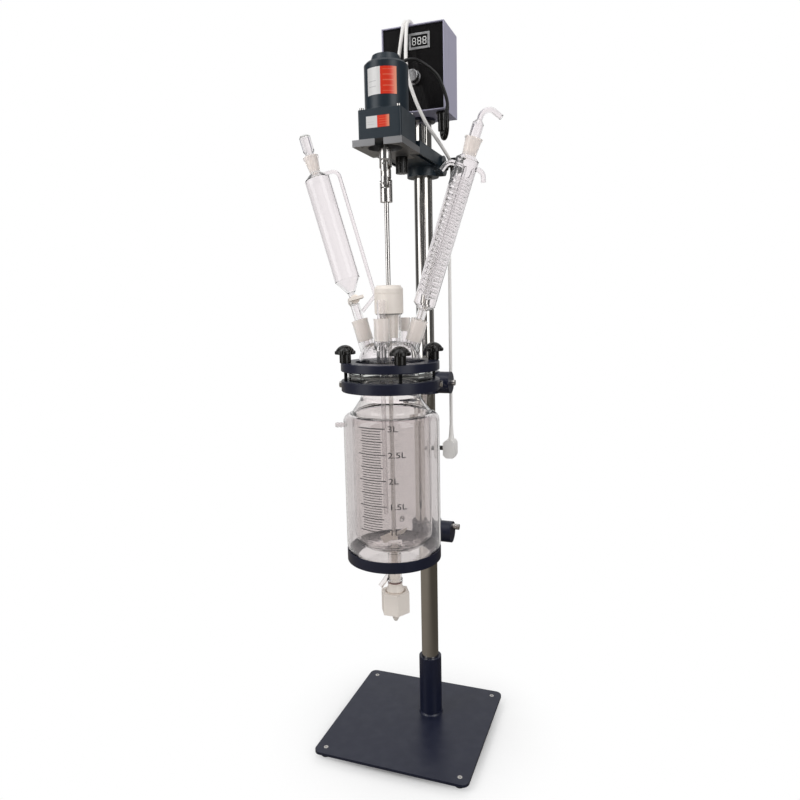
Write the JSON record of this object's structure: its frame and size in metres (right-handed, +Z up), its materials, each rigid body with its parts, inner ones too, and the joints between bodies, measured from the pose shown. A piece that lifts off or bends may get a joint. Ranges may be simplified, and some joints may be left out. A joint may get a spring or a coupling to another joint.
{
  "type": "jacketed glass reactor on a stand",
  "caption": "Bench glass reactor: jacketed vessel, lid with necks, stirrer drive, dropping funnel, coil condenser, drain valve and speed control box on one column.",
  "frame": {"origin": "centre of the base plate's underside", "axes": "+Z up the column, -Y the front where the vessel and the control panel face, +X to the condenser's side"},
  "size_m": [0.3844, 0.4045, 1.4203],
  "materials": {
    "navy_paint": "semi-gloss powder coat",
    "slate_paint": "semi-gloss paint",
    "polished_steel": "polished tube",
    "bright_steel": "bright turned steel",
    "black_steel": "black oxide",
    "black_plastic": "satin moulded",
    "black_rubber": "moulded rubber",
    "gasket_rubber": "pale elastomer sheet",
    "vessel_glass": "clear borosilicate",
    "white_ptfe": "milky, waxy",
    "plate_aluminium": "milled",
    "stator_steel": "laminated",
    "rotor_steel": "ground",
    "box_paint": "satin lavender grey",
    "panel_black": "satin film",
    "display_plastic": "silver frame",
    "knob_aluminium": "turned and anodised",
    "board_green": "solder mask",
    "cable_black": "sheath",
    "cord_white": "PVC sheath"
  },
  "bodies": {
    "stand": {"base_plate": "navy_paint", "column_socket": "navy_paint", "lower_ring": "navy_paint", "lower_bosshead": "navy_paint", "flange_ring": "navy_paint", "upper_bosshead": "navy_paint", "lid_ring": "navy_paint", "box_mount": "navy_paint", "motor_bracket": "slate_paint", "gearbox_case": "slate_paint", "motor_can": "slate_paint", "motor_end_cap": "slate_paint", "column": "polished_steel", "foot_screws": "bright_steel", "fixing_screws": "bright_steel", "lid_studs": "black_steel", "cord_gland": "black_plastic", "cable_connector": "black_plastic", "rubber_feet": "black_rubber", "flat_gaskets": "gasket_rubber", "jacketed_vessel": "vessel_glass", "vessel_lid": "vessel_glass", "thermowell": "vessel_glass", "dropping_funnel": "vessel_glass", "funnel_stopper": "vessel_glass", "coil_condenser": "vessel_glass", "condenser_coil": "vessel_glass", "bent_adapter": "vessel_glass", "seal_body": "white_ptfe", "seal_cap": "white_ptfe", "drain_body": "white_ptfe", "motor_plate": "plate_aluminium", "stator": "stator_steel", "control_box": "box_paint", "front_panel": "panel_black", "display": "display_plastic", "control_board": "board_green", "motor_cable": "cable_black", "mains_cord": "cord_white", "mains_plug": "cord_white"},
    "stirrer": {"output_shaft": "bright_steel", "upper_yoke": "bright_steel", "middle_yoke": "bright_steel", "lower_yoke": "bright_steel", "joint_crosses": "bright_steel", "stirrer_shaft": "bright_steel", "stirrer_blade": "white_ptfe"},
    "motor_rotor": {"rotor": "rotor_steel"},
    "speed_dial": {"speed_knob": "knob_aluminium"},
    "lid_nut_1": {"lid_knob_1": "black_plastic"},
    "lid_nut_2": {"lid_knob_2": "black_plastic"},
    "lid_nut_3": {"lid_knob_3": "black_plastic"},
    "lid_nut_4": {"lid_knob_4": "black_plastic"},
    "lower_lock": {"lower_clamp_screw": "bright_steel"},
    "upper_lock": {"upper_clamp_screw": "bright_steel"},
    "bracket_lock": {"bracket_screw": "black_plastic"},
    "plate_lock": {"bracket_knob": "black_plastic"},
    "stopcock": {"stopcock_key": "white_ptfe"},
    "valve_stem": {"drain_stem": "white_ptfe"},
    "valve_knob": {"drain_knob": "white_ptfe"}
  },
  "joints": [
    {"name": "stirrer_spin", "type": "hinge", "parent": "stand", "child": "stirrer", "pos_m": [0.025, -0.158, 1.1], "axis": [0, 0, 1], "continuous": true},
    {"name": "rotor_spin", "type": "hinge", "parent": "stand", "child": "motor_rotor", "pos_m": [0.025, -0.146, 1.25], "axis": [0, 0, 1], "continuous": true},
    {"name": "speed_turn", "type": "hinge", "parent": "stand", "child": "speed_dial", "pos_m": [0.0296, -0.02, 1.305], "axis": [0, 1, 0], "range_deg": [-140, 140]},
    {"name": "lid_nut_1_turn", "type": "hinge", "parent": "stand", "child": "lid_nut_1", "pos_m": [0.09125, -0.11497, 0.8], "axis": [0, 0, 1], "range_deg": [0, 1080]},
    {"name": "lid_nut_2_turn", "type": "hinge", "parent": "stand", "child": "lid_nut_2", "pos_m": [-0.01803, -0.09175, 0.8], "axis": [0, 0, 1], "range_deg": [0, 1080]},
    {"name": "lid_nut_3_turn", "type": "hinge", "parent": "stand", "child": "lid_nut_3", "pos_m": [-0.04125, -0.20103, 0.8], "axis": [0, 0, 1], "range_deg": [0, 1080]},
    {"name": "lid_nut_4_turn", "type": "hinge", "parent": "stand", "child": "lid_nut_4", "pos_m": [0.06803, -0.22425, 0.8], "axis": [0, 0, 1], "range_deg": [0, 1080]},
    {"name": "lower_lock_turn", "type": "hinge", "parent": "stand", "child": "lower_lock", "pos_m": [0.08, 0.046, 0.431], "axis": [1, 0, 0], "range_deg": [0, 720]},
    {"name": "upper_lock_turn", "type": "hinge", "parent": "stand", "child": "upper_lock", "pos_m": [0.08, 0.046, 0.733], "axis": [1, 0, 0], "range_deg": [0, 720]},
    {"name": "bracket_lock_turn", "type": "hinge", "parent": "stand", "child": "bracket_lock", "pos_m": [0.09, 0.046, 1.155], "axis": [1, 0, 0], "range_deg": [0, 720]},
    {"name": "plate_lock_turn", "type": "hinge", "parent": "stand", "child": "plate_lock", "pos_m": [0.025, -0.077, 1.13], "axis": [0, 0, 1], "range_deg": [0, 720]},
    {"name": "stopcock_turn", "type": "hinge", "parent": "stand", "child": "stopcock", "pos_m": [-0.04122, -0.158, 0.90046], "axis": [0.55, -0.8192, 0.1629], "range_deg": [0, 90]},
    {"name": "stem_slide", "type": "slide", "parent": "stand", "child": "valve_stem", "axis": [0, 0, -1], "range_m": [0, 0.008]},
    {"name": "valve_turn", "type": "hinge", "parent": "valve_stem", "child": "valve_knob", "pos_m": [0.025, -0.158, 0.34], "axis": [0, 0, 1], "range_deg": [0, 960]}
  ],
  "couplings": [
    {"joint": "rotor_spin", "follows": "stirrer_spin", "ratio": -3},
    {"joint": "valve_turn", "follows": "stem_slide", "rad_per_m": 2094.4}
  ]
}
